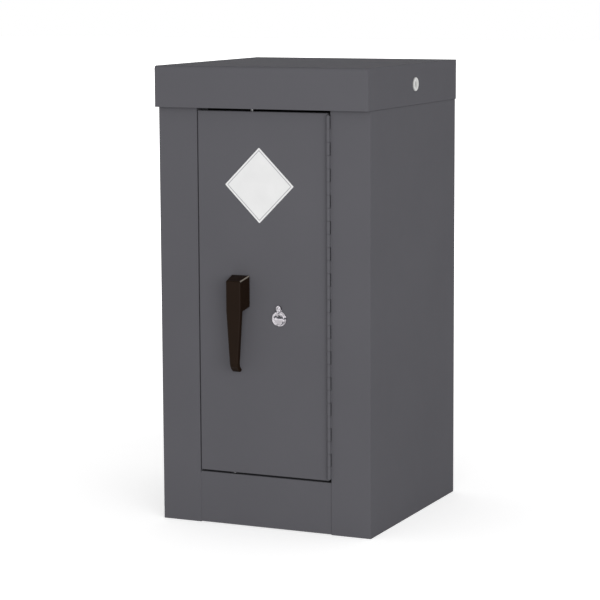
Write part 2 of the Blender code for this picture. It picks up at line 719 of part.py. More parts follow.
def door_panel():
    """The door: a pan with rounded front edges, returns all round and a lip behind."""
    mesh = box((DOOR_LEFT, FRONT, DOOR_BOTTOM), (DOOR_RIGHT, FRONT + DOOR_DEPTH, DOOR_TOP))
    mouth = max(mesh.faces, key=lambda face: face.normal.y)
    bmesh.ops.inset_region(mesh, faces=[mouth], thickness=DOOR_LIP, use_even_offset=True)
    bmesh.ops.delete(mesh, geom=[mouth], context="FACES_ONLY")
    front = [edge for edge in mesh.edges
             if all(abs(vert.co.y - FRONT) < SEAT_GAP for vert in edge.verts)]
    bmesh.ops.bevel(mesh, geom=front, offset=DOOR_EDGE_RADIUS, segments=DOOR_EDGE_STEPS,
                    affect="EDGES", profile=0.5)
    item = add_mesh("door_panel", mesh, GREY_PAINT)
    solidify(item, DOOR_SHEET, -1)
    holes = [("door_bush_hole", cylinder(BUSH_SLEEVE_RADIUS + SEAT_GAP, FRONT - CUT_OVERRUN,
                                         FRONT + CUT_OVERRUN, ROUND_STEPS,
                                         (HANDLE_X, HANDLE_HEIGHT), "Y")),
             ("door_lock_hole", cylinder(LOCK_BODY_RADIUS + SEAT_GAP, FRONT - CUT_OVERRUN,
                                         FRONT + CUT_OVERRUN, ROUND_STEPS,
                                         (LOCK_X, LOCK_HEIGHT), "Y"))]
    for where, side, edge in (("top", 1, DOOR_TOP), ("bottom", -1, DOOR_BOTTOM)):
        place = (HANDLE_X + side * ROD_OFFSET, FRONT + ROD_DEPTH)
        holes.append(("door_rod_hole_" + where,
                      cylinder(rod_hole_radius(), edge - CUT_OVERRUN, edge + CUT_OVERRUN,
                               SMALL_STEPS, place)))
    cutters = [add_mesh(name, hole, None) for name, hole in holes]
    for cutter in cutters:
        cut(item, cutter)
    return [item] + cutters


def door_stiffener():
    """A top-hat channel up the inside of the door."""
    start = LOCK_X + NUT_RADIUS + STIFFENER_LOCK_GAP
    width = (DOOR_RIGHT - start) * STIFFENER_SHARE
    flange = width * STIFFENER_FLANGE_SHARE
    left, right = start + flange, start + width - flange
    skin = FRONT + DOOR_SHEET + SEAT_GAP
    deep = skin + STIFFENER_DEPTH
    points = [(start, skin), (left, skin), (left, deep), (right, deep), (right, skin),
              (start + width, skin)]
    edge = DOOR_SHEET + SEAT_GAP
    return sheet_strip("door_stiffener", points, DOOR_BOTTOM + edge, DOOR_TOP - edge, "Z", -1,
                       DOOR_SHEET, GREY_PAINT)


def rod_bush(where, side, edge):
    """A flanged plastic bush in the door's top or bottom edge, flange inside the door."""
    bore = ROD_RADIUS + ROD_CLEARANCE
    sleeve = bore + ROD_BUSH_WALL
    rim = sleeve + ROD_BUSH_RIM
    seat = -(DOOR_SHEET + SEAT_GAP)
    profile = [(bore, 0), (sleeve, 0), (sleeve, seat), (rim, seat),
               (rim, seat - ROD_BUSH_FLANGE), (sleeve, seat - ROD_BUSH_FLANGE),
               (sleeve, -ROD_BUSH_LENGTH), (bore, -ROD_BUSH_LENGTH)]
    turn = (0, 0, 0) if side > 0 else (math.pi, 0, 0)
    place = (HANDLE_X + side * ROD_OFFSET, FRONT + ROD_DEPTH, edge)
    return turned("rod_bush_" + where, profile, SMALL_STEPS, BLACK_NYLON, place, turn)


def rod_guide(where, side):
    """A bent bracket on the door's skin with a hole that the rod runs through."""
    height = HANDLE_HEIGHT + side * GUIDE_DISTANCE
    middle = HANDLE_X + side * ROD_OFFSET
    skin = FRONT + DOOR_SHEET + SEAT_GAP
    deep = FRONT + ROD_DEPTH + ROD_RADIUS + ROD_CLEARANCE + GUIDE_SHEET
    outline = [(skin, height), (skin, height + GUIDE_FOOT), (skin + GUIDE_SHEET, height + GUIDE_FOOT),
               (skin + GUIDE_SHEET, height + GUIDE_SHEET), (deep, height + GUIDE_SHEET),
               (deep, height)]
    half = GUIDE_WIDTH / 2
    item = add_mesh("rod_guide_" + where, plate(outline, middle - half, middle + half, "X"), ZINC)
    hole = cylinder(ROD_RADIUS + ROD_CLEARANCE, height - CUT_OVERRUN, height + CUT_OVERRUN,
                    SMALL_STEPS, (middle, FRONT + ROD_DEPTH))
    cutter = add_mesh("rod_guide_hole_" + where, hole, None)
    cut(item, cutter)
    return [item, cutter]


# Pieces on the door's face are built with X across, Y up and Z towards the viewer
FACING = (math.pi / 2, 0, 0)
HANDLE_PLACE = (HANDLE_X, FRONT, HANDLE_HEIGHT)
LOCK_PLACE = (LOCK_X, FRONT, LOCK_HEIGHT)
NUT_SEAT = -(DOOR_SHEET + SEAT_GAP)


def handle_bush():
    """The flanged bush that the handle's spindle turns in."""
    profile = [(BORE_RADIUS, SEAT_GAP + BUSH_FLANGE), (BUSH_FLANGE_RADIUS, SEAT_GAP + BUSH_FLANGE),
               (BUSH_FLANGE_RADIUS, SEAT_GAP), (BUSH_SLEEVE_RADIUS, SEAT_GAP),
               (BUSH_SLEEVE_RADIUS, -BUSH_LENGTH), (BORE_RADIUS, -BUSH_LENGTH)]
    return turned("handle_bush", profile, ROUND_STEPS, BLACK_NYLON, HANDLE_PLACE, FACING)


def ring_nut(name, hole_radius, place):
    """A six-sided nut behind the door's skin."""
    nut = cylinder(NUT_RADIUS, NUT_SEAT - NUT_HEIGHT, NUT_SEAT, NUT_SIDES)
    item = add_mesh(name, nut, ZINC, place, FACING)
    hole = cylinder(hole_radius + SEAT_GAP, NUT_SEAT - NUT_HEIGHT - CUT_OVERRUN,
                    NUT_SEAT + CUT_OVERRUN, ROUND_STEPS)
    cutter = add_mesh(name + "_hole", hole, None, place, FACING)
    cut(item, cutter)
    return [item, cutter]


def handle_width(height, depth):
    """The handle's width: it widens towards the door, and below the head it tapers."""
    draft = (HEAD_REAR_WIDTH - HEAD_WIDTH) * (HEAD_REACH - depth) / (HEAD_REACH - HEAD_DOOR_GAP)
    below = max(0, (-height - HEAD_BOTTOM) / (LEVER_LENGTH - HEAD_BOTTOM))
    return HEAD_WIDTH + draft - (HEAD_WIDTH - LEVER_TIP_WIDTH) * below


def lever_curl(depth, curl, end):
    """The curve of the lever's tip: depths and heights down to its end, ever more inwards."""
    start = -LEVER_LENGTH + LEVER_CURL_LENGTH
    shares = [step / LEVER_CURL_STEPS for step in range(LEVER_CURL_STEPS + 1)]
    return [(depth - curl * share ** 2, start + (end - start) * share) for share in shares]


def handle_lever():
    """The handle: a block head with a tapered lever whose tip curls towards the door."""
    rear = HEAD_DOOR_GAP
    front = HEAD_REACH
    inner = front - LEVER_THICKNESS
    outer_curl = lever_curl(front, LEVER_CURL, -LEVER_LENGTH)
    inner_curl = lever_curl(inner, LEVER_CURL - LEVER_THICKNESS / 2,
                            -LEVER_LENGTH + LEVER_THICKNESS / 2)
    outline = ([(rear, HEAD_REAR_TOP), (front, HEAD_FRONT_TOP), (front, -HEAD_BOTTOM)]
               + outer_curl + inner_curl[::-1]
               + [(inner, -HEAD_BOTTOM), (rear, -HEAD_REAR_BOTTOM)])
    mesh = plate([(height, depth) for depth, height in outline], -HEAD_WIDTH / 2,
                 HEAD_WIDTH / 2, "X")
    for side in (-1, 1):
        bend = [vert for vert in mesh.verts
                if vert.co.x * side > 0 and abs(vert.co.y + HEAD_BOTTOM) < MERGE_DISTANCE]
        bmesh.ops.connect_verts(mesh, verts=bend)
    for vert in mesh.verts:
        vert.co.x *= handle_width(vert.co.y, vert.co.z) / HEAD_WIDTH
    item = add_mesh("handle_lever", mesh, BLACK_HANDLE, HANDLE_PLACE, FACING)
    round_edges(item, HANDLE_EDGE_RADIUS, HANDLE_EDGE_STEPS)
    half = SPINDLE_SQUARE / 2 + SEAT_GAP
    socket = box((-half, -half, rear - CUT_OVERRUN), (half, half, SPINDLE_IN_HEAD + SEAT_GAP))
    cutter = add_mesh("handle_socket", socket, None, HANDLE_PLACE, FACING)
    cut(item, cutter)
    return [item, cutter]


def handle_spindle():
    """The square bar from the handle's head to the cam plate, bored for its screw."""
    half = SPINDLE_SQUARE / 2
    bar = box((-half, -half, -CAM_REAR - SEAT_GAP), (half, half, SPINDLE_IN_HEAD))
    item = add_mesh("handle_spindle", bar, ZINC, HANDLE_PLACE, FACING)
    hole = cylinder(SCREW_RADIUS + SEAT_GAP, -CAM_REAR - CUT_OVERRUN,
                    -CAM_REAR + SCREW_LENGTH, SMALL_STEPS)
    cutter = add_mesh("spindle_hole", hole, None, HANDLE_PLACE, FACING)
    cut(item, cutter)
    return [item, cutter]


def spindle_screw():
    """The screw and washer that hold the cam plate on the spindle."""
    seat = -CAM_REAR - 2 * SEAT_GAP
    profile = [(0, seat + SCREW_LENGTH - SEAT_GAP), (SCREW_RADIUS, seat + SCREW_LENGTH - SEAT_GAP),
               (SCREW_RADIUS, seat), (SCREW_HEAD_RADIUS, seat),
               (SCREW_HEAD_RADIUS, seat - SCREW_HEAD), (0, seat - SCREW_HEAD)]
    return turned("spindle_screw", profile, SMALL_STEPS, ZINC, HANDLE_PLACE, FACING)


def pin_place(side):
    """A drive pin's place on the cam at rest; side is 1 for the top rod, -1 for the bottom."""
    return (side * CAM_PIN_ORBIT * math.cos(CAM_PIN_ANGLE),
            -side * CAM_PIN_ORBIT * math.sin(CAM_PIN_ANGLE))


def cam_plate():
    """The cam: a disc with two drive pins and an arm whose bent tab meets the lock's tongue."""
    item = add_mesh("cam_plate", cylinder(CAM_RADIUS, -CAM_REAR, -CAM_FRONT), ZINC,
                    HANDLE_PLACE, FACING)
    tools = []
    bend = ARM_LENGTH - CAM_SHEET
    section = [(0, -CAM_REAR), (bend, -CAM_REAR), (bend, -CAM_REAR - ARM_TAB),
               (ARM_LENGTH, -CAM_REAR - ARM_TAB), (ARM_LENGTH, -CAM_FRONT), (0, -CAM_FRONT)]
    arm = plate(section, -ARM_WIDTH / 2, ARM_WIDTH / 2, "Y")
    bmesh.ops.rotate(arm, cent=(0, 0, 0), matrix=Matrix.Rotation(ARM_ANGLE, 3, "Z"),
                     verts=arm.verts)
    tools.append(add_mesh("cam_arm", arm, None, HANDLE_PLACE, FACING))
    lug_front = -ROD_DEPTH + LUG_SHEET / 2
    for name, side in (("cam_pin_top", 1), ("cam_pin_bottom", -1)):
        pin = cylinder(CAM_PIN_RADIUS, -CAM_REAR + CAM_SHEET / 2, lug_front + SEAT_GAP,
                       SMALL_STEPS, pin_place(side))
        tools.append(add_mesh(name, pin, None, HANDLE_PLACE, FACING))
    for tool in tools:
        join(item, tool)
    half = SPINDLE_SQUARE / 2 + SEAT_GAP
    square = box((-half, -half, -CAM_REAR - CUT_OVERRUN), (half, half, -CAM_FRONT + CUT_OVERRUN))
    cutter = add_mesh("cam_square", square, None, HANDLE_PLACE, FACING)
    cut(item, cutter)
    return [item, cutter] + tools


def locking_rod(name, side, tip):
    """A round rod with a flat lug at its inner end, slotted for the cam's drive pin."""
    pin_x, pin_z = pin_place(side)
    centre = HANDLE_HEIGHT + pin_z
    x = HANDLE_X + side * ROD_OFFSET
    slot_half = CAM_PIN_RADIUS + PIN_RISE_CLEARANCE
    inner = abs(pin_x) - CAM_PIN_RADIUS - PIN_SIDE_CLEARANCE
    outer = CAM_PIN_ORBIT + CAM_PIN_RADIUS + PIN_SIDE_CLEARANCE
    low = centre - side * (slot_half + LUG_WALL)
    high = centre + side * (slot_half + LUG_WALL + LUG_NECK)
    edges = (HANDLE_X + side * (inner - LUG_WALL), x + side * ROD_RADIUS)
    back, fore = FRONT + ROD_DEPTH + LUG_SHEET / 2, FRONT + ROD_DEPTH - LUG_SHEET / 2
    lug = box((min(edges), fore, min(low, high)), (max(edges), back, max(low, high)))
    start = high - side * LUG_NECK / 2
    rod = cylinder(ROD_RADIUS, min(start, tip), max(start, tip), ROD_STEPS, (x, FRONT + ROD_DEPTH))
    item = add_mesh(name, rod, ZINC)
    lug_tool = add_mesh(name + "_lug", lug, None)
    join(item, lug_tool)
    ends = (HANDLE_X + side * inner, HANDLE_X + side * outer)
    slot = box((min(ends), fore - CUT_OVERRUN, centre - slot_half),
               (max(ends), back + CUT_OVERRUN, centre + slot_half))
    slot_tool = add_mesh(name + "_slot", slot, None)
    cut(item, slot_tool)
    return [item, lug_tool, slot_tool]


def lock_body():
    """The lock's body: a chamfered bezel with an ear for the cover's rivet, and a barrel."""
    front = SEAT_GAP + BEZEL_THICKNESS
    bore = LOCK_PLUG_RADIUS + SEAT_GAP
    profile = [(bore, front), (BEZEL_RADIUS - BEZEL_CHAMFER, front),
               (BEZEL_RADIUS, front - BEZEL_CHAMFER), (BEZEL_RADIUS, SEAT_GAP),
               (LOCK_BODY_RADIUS, SEAT_GAP), (LOCK_BODY_RADIUS, -LOCK_BODY_LENGTH),
               (bore, -LOCK_BODY_LENGTH)]
    item = turned("lock_body", profile, ROUND_STEPS, CHROME, LOCK_PLACE, FACING)
    low = LOCK_BODY_RADIUS
    ear = box((-EAR_RADIUS, low, SEAT_GAP), (EAR_RADIUS, EAR_REACH, front - BEZEL_CHAMFER))
    end = cylinder(EAR_RADIUS, SEAT_GAP, front - BEZEL_CHAMFER, ROUND_STEPS, (0, EAR_REACH))
    hole = cylinder(RIVET_RADIUS + SEAT_GAP, -CUT_OVERRUN, CUT_OVERRUN, SMALL_STEPS,
                    (0, EAR_REACH))
    tools = [add_mesh(name, mesh, None, LOCK_PLACE, FACING)
             for name, mesh in (("lock_ear", ear), ("lock_ear_end", end), ("rivet_hole", hole))]
    join(item, tools[0])
    join(item, tools[1])
    cut(item, tools[2])
    return [item] + tools


def lock_plug():
    """The keyed plug: a cylinder with a keyhole in front and a square tail for the tongue."""
    front = SEAT_GAP + BEZEL_THICKNESS
    shoulder = -LOCK_BODY_LENGTH - SEAT_GAP
    item = add_mesh("lock_plug", cylinder(LOCK_PLUG_RADIUS, shoulder, front), BRASS,
                    LOCK_PLACE, FACING)
    half = PLUG_TAIL_SQUARE / 2
    tail = box((-half, -half, shoulder - SEAT_GAP - TONGUE_SHEET), (half, half, shoulder + half))
    slot = box((-KEYHOLE_WIDTH / 2, -KEYHOLE_HEIGHT / 2, front - KEYHOLE_DEPTH),
               (KEYHOLE_WIDTH / 2, KEYHOLE_HEIGHT / 2, front + CUT_OVERRUN))
    hole = cylinder(TONGUE_SCREW_SHANK + SEAT_GAP, shoulder - CUT_OVERRUN,
                    shoulder - TONGUE_SHEET + TONGUE_SCREW_LENGTH, SMALL_STEPS)
    tools = [add_mesh(name, mesh, None, LOCK_PLACE, FACING)
             for name, mesh in (("plug_tail", tail), ("keyhole", slot), ("tail_hole", hole))]
    join(item, tools[0])
    cut(item, tools[1])
    cut(item, tools[2])
    return [item] + tools


def lock_tongue():
    """The tongue on the plug's tail; it points up at rest and over the cam's arm when locked."""
    high = -LOCK_BODY_LENGTH - 2 * SEAT_GAP
    low = high - TONGUE_SHEET
    end = TONGUE_LENGTH - TONGUE_WIDTH / 2
    blade = box((-TONGUE_WIDTH / 2, 0, low), (TONGUE_WIDTH / 2, end, high))
    item = add_mesh("lock_tongue", blade, ZINC, LOCK_PLACE, FACING)
    half = PLUG_TAIL_SQUARE / 2 + SEAT_GAP
    tip = cylinder(TONGUE_WIDTH / 2, low, high, SMALL_STEPS, (0, end))
    root = cylinder(TONGUE_WIDTH / 2, low, high, SMALL_STEPS)
    square = box((-half, -half, low - CUT_OVERRUN), (half, half, high + CUT_OVERRUN))
    tools = [add_mesh(name, mesh, None, LOCK_PLACE, FACING)
             for name, mesh in (("tongue_tip", tip), ("tongue_root", root), ("tongue_square", square))]
    join(item, tools[0])
    join(item, tools[1])
    cut(item, tools[2])
    return [item] + tools


def tongue_screw():
    """The screw that holds the tongue on the plug."""
    seat = -LOCK_BODY_LENGTH - 3 * SEAT_GAP - TONGUE_SHEET
    top = seat + TONGUE_SCREW_LENGTH - SEAT_GAP
    profile = [(0, top), (TONGUE_SCREW_SHANK, top), (TONGUE_SCREW_SHANK, seat),
               (TONGUE_SCREW_RADIUS, seat), (TONGUE_SCREW_RADIUS, seat - TONGUE_SCREW_HEAD),
               (0, seat - TONGUE_SCREW_HEAD)]
    return turned("tongue_screw", profile, SMALL_STEPS, ZINC, LOCK_PLACE, FACING)


def dust_cover():
    """The lock's dust cover: a dome, a groove and a rim on a disc that swings on the rivet."""
    seat = 2 * SEAT_GAP + BEZEL_THICKNESS
    top = seat + COVER_SHEET
    groove = top - COVER_GROOVE
    shares = [step / COVER_DOME_STEPS for step in range(COVER_DOME_STEPS + 1)]
    dome = [(COVER_DOME_RADIUS * share, groove + (COVER_DOME + COVER_GROOVE) * (1 - share ** 2))
            for share in shares]
    ring = COVER_DOME_RADIUS + COVER_GROOVE_WIDTH
    profile = dome + [(ring, groove), (ring + COVER_GROOVE, top),
                      (COVER_RADIUS - COVER_CHAMFER, top), (COVER_RADIUS, top - COVER_CHAMFER),
                      (COVER_RADIUS, seat), (0, seat)]
    item = turned("dust_cover", profile, ROUND_STEPS, CHROME, LOCK_PLACE, FACING)
    neck = box((-COVER_NECK / 2, ring + COVER_GROOVE, seat), (COVER_NECK / 2, EAR_REACH, top))
    eye = cylinder(EAR_RADIUS - SEAT_GAP, seat, top, SMALL_STEPS, (0, EAR_REACH))
    hole = cylinder(RIVET_RADIUS + SEAT_GAP, -CUT_OVERRUN, top + CUT_OVERRUN, SMALL_STEPS,
                    (0, EAR_REACH))
    tools = [add_mesh(name, mesh, None, LOCK_PLACE, FACING)
             for name, mesh in (("cover_neck", neck), ("cover_eye", eye), ("cover_hole", hole))]
    join(item, tools[0])
    join(item, tools[1])
    cut(item, tools[2])
    return [item] + tools


def cover_rivet():
    """The rivet through the ear and the cover."""
    seat = 3 * SEAT_GAP + BEZEL_THICKNESS + COVER_SHEET
    profile = [(0, seat + RIVET_HEAD), (RIVET_HEAD_RADIUS / 2, seat + RIVET_HEAD),
               (RIVET_HEAD_RADIUS, seat + RIVET_HEAD / 2), (RIVET_HEAD_RADIUS, seat),
               (RIVET_RADIUS, seat), (RIVET_RADIUS, 2 * SEAT_GAP), (0, 2 * SEAT_GAP)]
    place = (LOCK_X, FRONT, LOCK_HEIGHT + EAR_REACH)
    return turned("cover_rivet", profile, SMALL_STEPS, CHROME, place, FACING)


def build():
    """Make every piece and hang the moving ones on their joints' axes."""
    for where, side in (("left", -1), ("right", 1)):
        side_panel(where + "_side_panel", side)
        side_plug("vent_plug_" + where, side)
    top_cap()
    header_rail()
    plinth_panel()
    back_panel()
    sump_tray()
    for where, side, front in strip_places():
        shelf_strip(where, side, front)
        shelf_clip(where, side, front)
    shelf()
    hinge_leaf("hinge_frame_leaf", 1, 0)
    hinge_pin()
    door_buffer("upper", DOOR_TOP - BUFFER_INSET)
    door_buffer("lower", DOOR_BOTTOM + BUFFER_INSET)

    door_axis = make_pivot("door_axis", (HINGE_X, HINGE_Y, 0))
    carry(door_axis, door_panel())
    carry(door_axis, [door_stiffener()] + hinge_leaf("hinge_door_leaf", -1, 1))
    for where, side, edge in (("top", 1, DOOR_TOP), ("bottom", -1, DOOR_BOTTOM)):
        carry(door_axis, [rod_bush(where, side, edge)] + rod_guide(where, side))
    carry(door_axis, [handle_bush(), cover_rivet()])
    carry(door_axis, ring_nut("bush_nut", BUSH_SLEEVE_RADIUS, HANDLE_PLACE))
    carry(door_axis, ring_nut("lock_nut", LOCK_BODY_RADIUS, LOCK_PLACE))
    carry(door_axis, lock_body())

    handle_axis = make_pivot("handle_axis", HANDLE_PLACE, door_axis)
    carry(handle_axis, handle_lever() + handle_spindle() + cam_plate() + [spindle_screw()])
    carry(door_axis, locking_rod("top_rod", 1, HEADER_BOTTOM - ROD_TIP_GAP))
    carry(door_axis, locking_rod("bottom_rod", -1, SILL_HEIGHT + ROD_TIP_GAP))
    lock_axis = make_pivot("lock_axis", LOCK_PLACE, door_axis)
    carry(lock_axis, lock_plug() + lock_tongue() + [tongue_screw()])
    cover_axis = make_pivot("cover_axis", (LOCK_X, FRONT, LOCK_HEIGHT + EAR_REACH), door_axis)
    carry(cover_axis, dust_cover())


clear_scene()
PARTS = make_collection("hazardous_substance_cupboard")
CUTTERS = make_collection("cutters")
pivot_inverse = {}
build()
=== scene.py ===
"""Looks of the hazardous substance cupboard: finishes, small fittings, light and camera.

Metres, +Z up, the front faces -Y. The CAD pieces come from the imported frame.
"""
import json
import math

import bmesh
import bpy
from mathutils import Matrix, Vector


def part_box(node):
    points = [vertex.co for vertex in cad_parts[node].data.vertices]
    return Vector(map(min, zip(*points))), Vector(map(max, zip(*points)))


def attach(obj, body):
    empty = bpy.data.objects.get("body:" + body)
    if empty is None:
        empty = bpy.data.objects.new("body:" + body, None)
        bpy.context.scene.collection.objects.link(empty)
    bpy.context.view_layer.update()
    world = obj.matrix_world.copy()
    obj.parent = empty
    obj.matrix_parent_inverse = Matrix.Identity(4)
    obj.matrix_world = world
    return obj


MM = 0.001

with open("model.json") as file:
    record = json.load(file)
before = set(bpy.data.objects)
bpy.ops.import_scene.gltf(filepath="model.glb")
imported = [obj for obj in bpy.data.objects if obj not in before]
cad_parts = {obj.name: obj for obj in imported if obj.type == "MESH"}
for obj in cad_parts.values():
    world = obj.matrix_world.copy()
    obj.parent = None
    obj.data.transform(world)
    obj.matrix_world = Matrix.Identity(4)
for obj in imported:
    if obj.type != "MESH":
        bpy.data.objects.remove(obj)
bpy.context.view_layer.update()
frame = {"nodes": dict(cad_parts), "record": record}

# Camera: where it stands, where it points and how long its lens is
CAMERA_PLACE = (1.9065, -4.2182, 1.0958)
CAMERA_HEADING = math.radians(24.518)
CAMERA_DROP = math.radians(8.168)
CAMERA_ROLL = math.radians(-0.287)
CAMERA_LENS = 137.1
CAMERA_SENSOR = 36.0

# Studio: an even sky, one softbox, and a floor that is plain white beyond the shadow
SKY_LEVEL = 0.60
KEY_PLACE = (3.5, -5.1, 1.4)
KEY_TARGET = (0.0, 0.0, 0.4)
KEY_SIZE = (6.0, 2.8)
KEY_POWER = 218.0
FLOOR_COLOR = (0.90, 0.90, 0.90)
FLOOR_HALF = 30.0
FLOOR_SQUARES = 8
FLOOR_ROUGHNESS = 0.9
FLOOR_SHINE = 0.1
FLOOR_LIFT = 0.46
SHADOW_REACH = 0.8
WHITE_REACH = 3.0
WHITE = (1.0, 1.0, 1.0, 1.0)

# Colours
GREY = (0.106, 0.1045, 0.1155)
GREY_INSIDE = (0.108, 0.107, 0.116)
PALE = (0.60, 0.60, 0.58)
ZINC = (0.43, 0.44, 0.45)
RUBBER = (0.014, 0.014, 0.014)
NYLON = (0.020, 0.020, 0.021)
HANDLE_BROWN = (0.0118, 0.0061, 0.0032)
# The colour of a highlight painted on the handle's head
HANDLE_HIGHLIGHT = (0.42, 0.38, 0.33)
# Chrome's painted reflection: the colours of its bright and dark bands
CHROME_PAINTED_BRIGHT = (0.44, 0.42, 0.445)
CHROME_PAINTED_DARK = (0.07, 0.07, 0.08)
BRASS = (0.60, 0.46, 0.21)
PLUG_PALE = (0.61, 0.61, 0.60)
# The colour of the shade painted in the plugs' dish and round their flange
PLUG_PAINTED_SHADE = (0.24, 0.24, 0.24)
ROD_GREY = (0.19, 0.19, 0.195)
LABEL_WHITE = (0.75, 0.75, 0.75)
LABEL_GREY = (0.42, 0.42, 0.43)

# Finishes: how wide an edge looks rounded, how much a surface shines, the share of speckle in
# paint, the size of zinc's spangle, and the slopes over which chrome has its painted reflection
# bands
PAINT_EDGE = 1.1 * MM
HANDLE_EDGE = 0.9 * MM
EDGE_SAMPLES = 6
PAINT_SHINE = 0.006
HANDLE_SHINE = 0.06
SPECKLE_SHARE = 0.35
SPANGLE_SCALE = 170.0
REFLECTION_BAND_SLOPES = (-0.26, 0.34)
REFLECTION_BAND_WANDER = 0.45

# A highlight painted on the rounded edge of the handle's head: which way it faces, and how near to
# that it fades in
HIGHLIGHT_FACING = (0.68, -0.20, 0.70)
HIGHLIGHT_FADE = (0.88, 0.97)

# Painted shade on the round plugs: an upright oval in the dish, and a ring round the flange
DISH_STRETCH = (0.0, 1.9, 1.0)
DISH_FADE = (4.6 * MM, 7.4 * MM)
FLANGE_STRETCH = (0.0, 1.0, 1.0)
FLANGE_FADE = (14.2 * MM, 12.4 * MM)

# A noise value seldom leaves this range
NOISE_RANGE = (0.3, 0.7)

# Blank label: a diamond of vinyl on the door's front, with a line printed near its edge
DOOR_FRONT = -208.75 * MM
LABEL_CENTRE = (-8.4 * MM, 684.0 * MM)
LABEL_HALF = 74.0 * MM
LABEL_SHEET = 0.15 * MM
LABEL_LIFT = 0.02 * MM
LABEL_CORNER = 1.5 * MM
LINE_HALF = 69.5 * MM
LINE_HOLE = 67.0 * MM
LINE_SHEET = 0.04 * MM
LINE_LIFT = 0.18 * MM
LINE_CORNER = 1.2 * MM
HOLE_CORNER_SHARE = 0.2
CORNER_STEPS = 6

# Turned fittings as (radius, height) from the middle to the rim, in millimetres
RIVET = [(0, 1.25), (0.9, 1.15), (1.7, 0.8), (2.25, 0.3), (2.4, -0.05)]
SPOT_WELD = [(0, 0.03), (1.6, 0.04), (2.1, 0.10), (2.6, 0.13), (3.1, 0.07), (3.5, -0.02)]
TURNED_STEPS = 16

# Rivets: how far they are from a shelf strip's ends, and where they are on a guide's foot
STRIP_RIVET_END = 10 * MM
GUIDE_RIVET_OUT = 7.2 * MM
GUIDE_FOOT = 2 * MM
GUIDE_RIVET_UP = 7 * MM

# Spot welds, up the stiffener's flanges and the side panels' rear flanges
STIFFENER_WELDS = 7
STIFFENER_WELD_IN = 6 * MM
STIFFENER_WELD_START = 30 * MM
STIFFENER_WELD_PITCH = 109 * MM
STIFFENER_SHEET = 1.0 * MM
REAR_WELDS = 9
REAR_WELD_IN = 11 * MM
REAR_WELD_START = 55 * MM
REAR_WELD_PITCH = 92 * MM

# Weld beads up the sump tray's corners
SUMP_SHEET = 1.2 * MM
BEAD_RADIUS = 2.6 * MM
BEAD_PITCH = 2.4 * MM
BEAD_BELOW_RIM = 0.5 * MM
BEAD_LEAST_ROWS = 8
BEAD_ROWS_PER_RIPPLE = 4
BEAD_ARC_STEPS = 4
BEAD_END_SHARE = 0.35
BEAD_RIPPLE = 0.07

# Paint that has run into the seams beside the hinge's knuckles and at the plinth's ends
HINGE_KNUCKLES = 28
FILLET_STEPS = 5
FILLET_LIFT = 0.02 * MM
HINGE_FILLET_OUT = 0.04 * MM
HINGE_FILLET_REACH = (0.8 * MM, -1.2 * MM)
HINGE_FILLET_SEAM = 0.02 * MM
HINGE_FILLET_END = 0.3 * MM
PLINTH_FILLET_REACH = (1.6 * MM, -1.3 * MM)
PLINTH_FILLET_SEAM = 0.28 * MM
PLINTH_FILLET_BELOW_TOP = 2 * MM

# Sockets of a Mix node that mixes colours
MIX_FACTOR = 0
MIX_FIRST = 6
MIX_SECOND = 7
MIX_RESULT = 2


# Node helpers
def new_material(name):
    """A material with a Principled shader, and its object coordinates."""
    material = bpy.data.materials.new(name)
    material.use_nodes = True
    tree = material.node_tree
    shader = tree.nodes["Principled BSDF"]
    coords = tree.nodes.new("ShaderNodeTexCoord")
    return material, tree, shader, coords.outputs["Object"]


def coordinates(tree, kind):
    """The Object or Normal coordinates of a material that new_material made."""
    return next(node for node in tree.nodes if node.type == "TEX_COORD").outputs[kind]


def noise(tree, coords, scale, detail=2.0, roughness=0.5, stretch=None):
    """A noise value over the object, optionally stretched along an axis."""
    if stretch is not None:
        mapping = tree.nodes.new("ShaderNodeMapping")
        mapping.inputs["Scale"].default_value = stretch
        tree.links.new(coords, mapping.inputs["Vector"])
        coords = mapping.outputs["Vector"]
    node = tree.nodes.new("ShaderNodeTexNoise")
    node.inputs["Scale"].default_value = scale
    node.inputs["Detail"].default_value = detail
    node.inputs["Roughness"].default_value = roughness
    tree.links.new(coords, node.inputs["Vector"])
    return node.outputs["Fac"]


def ramp(tree, value, stops):
    """Colours along a value: stops are (place, colour), and each new one starts halfway."""
    node = tree.nodes.new("ShaderNodeValToRGB")
    elements = node.color_ramp.elements
    while len(elements) < len(stops):
        elements.new(0.5)
    for element, (place, color) in zip(elements, stops):
        element.position = place
        element.color = (*color, 1.0)
    tree.links.new(value, node.inputs["Fac"])
    return node.outputs["Color"]


def tint(color, factor):
    """A colour made lighter or darker."""
    return tuple(channel * factor for channel in color)


def shades(tree, value, color, darkest, lightest):
    """Let a colour vary with a noise value, between two factors."""
    low, high = NOISE_RANGE
    return ramp(tree, value, [(low, tint(color, darkest)), (high, tint(color, lightest))])


def remap(tree, value, source, target=(0.0, 1.0), clamp=True):
    """Map a value from one range to another."""
    node = tree.nodes.new("ShaderNodeMapRange")
    node.clamp = clamp
    node.inputs["From Min"].default_value, node.inputs["From Max"].default_value = source
    node.inputs["To Min"].default_value, node.inputs["To Max"].default_value = target
    tree.links.new(value, node.inputs["Value"])
    return node.outputs["Result"]


def calculate(tree, operation, *values):
    """A Math node on values that are each a socket or a number."""
    node = tree.nodes.new("ShaderNodeMath")
    node.operation = operation
    for socket, value in zip(node.inputs, values):
        if isinstance(value, float):
            socket.default_value = value
        else:
            tree.links.new(value, socket)
    return node.outputs["Value"]


def vector_math(tree, operation, vector, other=None):
    """A Vector Math node on a socket and, where it takes one, a fixed vector."""
    node = tree.nodes.new("ShaderNodeVectorMath")
    node.operation = operation
    tree.links.new(vector, node.inputs[0])
    if other is not None:
        node.inputs[1].default_value = other
    return node.outputs["Value" if operation in ("LENGTH", "DOT_PRODUCT") else "Vector"]


